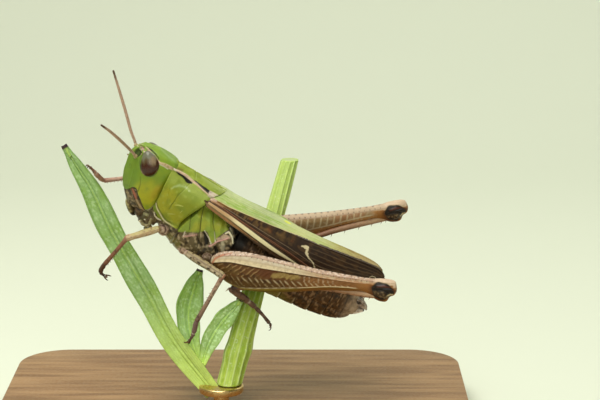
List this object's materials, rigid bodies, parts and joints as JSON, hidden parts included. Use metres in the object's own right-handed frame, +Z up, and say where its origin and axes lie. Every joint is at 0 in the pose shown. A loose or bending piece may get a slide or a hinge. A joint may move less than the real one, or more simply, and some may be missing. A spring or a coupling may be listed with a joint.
{
  "type": "grasshopper",
  "caption": "Life-size still model of a green and brown grasshopper gripping a cut stem, held by a flat base with a short rod and cup.",
  "frame": {"origin": "centre of the underside of the stand's base", "axes": "+Z up, +X along the base's long side from the insect's head end to its tail end, +Y away from the insect's left side"},
  "size_m": [0.036, 0.026, 0.0287],
  "materials": {
    "shell_green": "green horny skin, satin",
    "face_green": "green to olive face, satin",
    "eye_brown": "glossy faceted eye",
    "wing_brown": "brown veined wing with a green back",
    "belly_brown": "grey-brown segmented belly",
    "thigh_brown": "brown thigh with a cream band",
    "shin_brown": "red-brown shin and foot",
    "feeler_brown": "pinkish brown feeler",
    "stem_green": "fresh green stem and leaf",
    "base_wood": "pale oiled beech",
    "stand_brass": "satin brass"
  },
  "bodies": {
    "root": {"abdomen": "belly_brown", "antenna_left": "feeler_brown", "antenna_right": "feeler_brown", "eye_left": "eye_brown", "eye_right": "eye_brown", "forewing_left": "wing_brown", "forewing_right": "wing_brown", "front_coxa_left": "shell_green", "front_coxa_right": "shell_green", "front_femur_left": "thigh_brown", "front_femur_right": "thigh_brown", "front_tarsus_left": "shin_brown", "front_tarsus_right": "shin_brown", "front_tibia_left": "shin_brown", "front_tibia_right": "shin_brown", "head": "face_green", "hind_coxa_left": "shell_green", "hind_coxa_right": "shell_green", "hind_femur_left": "thigh_brown", "hind_femur_right": "thigh_brown", "hind_tarsus_left": "shin_brown", "hind_tarsus_right": "shin_brown", "hind_tibia_left": "shin_brown", "hind_tibia_right": "shin_brown", "mid_coxa_left": "shell_green", "mid_coxa_right": "shell_green", "mid_femur_left": "thigh_brown", "mid_femur_right": "thigh_brown", "mid_tarsus_left": "shin_brown", "mid_tarsus_right": "shin_brown", "mid_tibia_left": "shin_brown", "mid_tibia_right": "shin_brown", "mouthparts": "belly_brown", "ovipositor": "belly_brown", "palp_left": "shin_brown", "palp_right": "shin_brown", "perch_bract": "stem_green", "perch_long_leaf": "stem_green", "perch_short_leaf": "stem_green", "perch_stem": "stem_green", "pronotum": "shell_green", "stand_base": "base_wood", "stand_cup": "stand_brass", "stand_rod": "stand_brass", "thorax": "shell_green"}
  },
  "joints": []
}
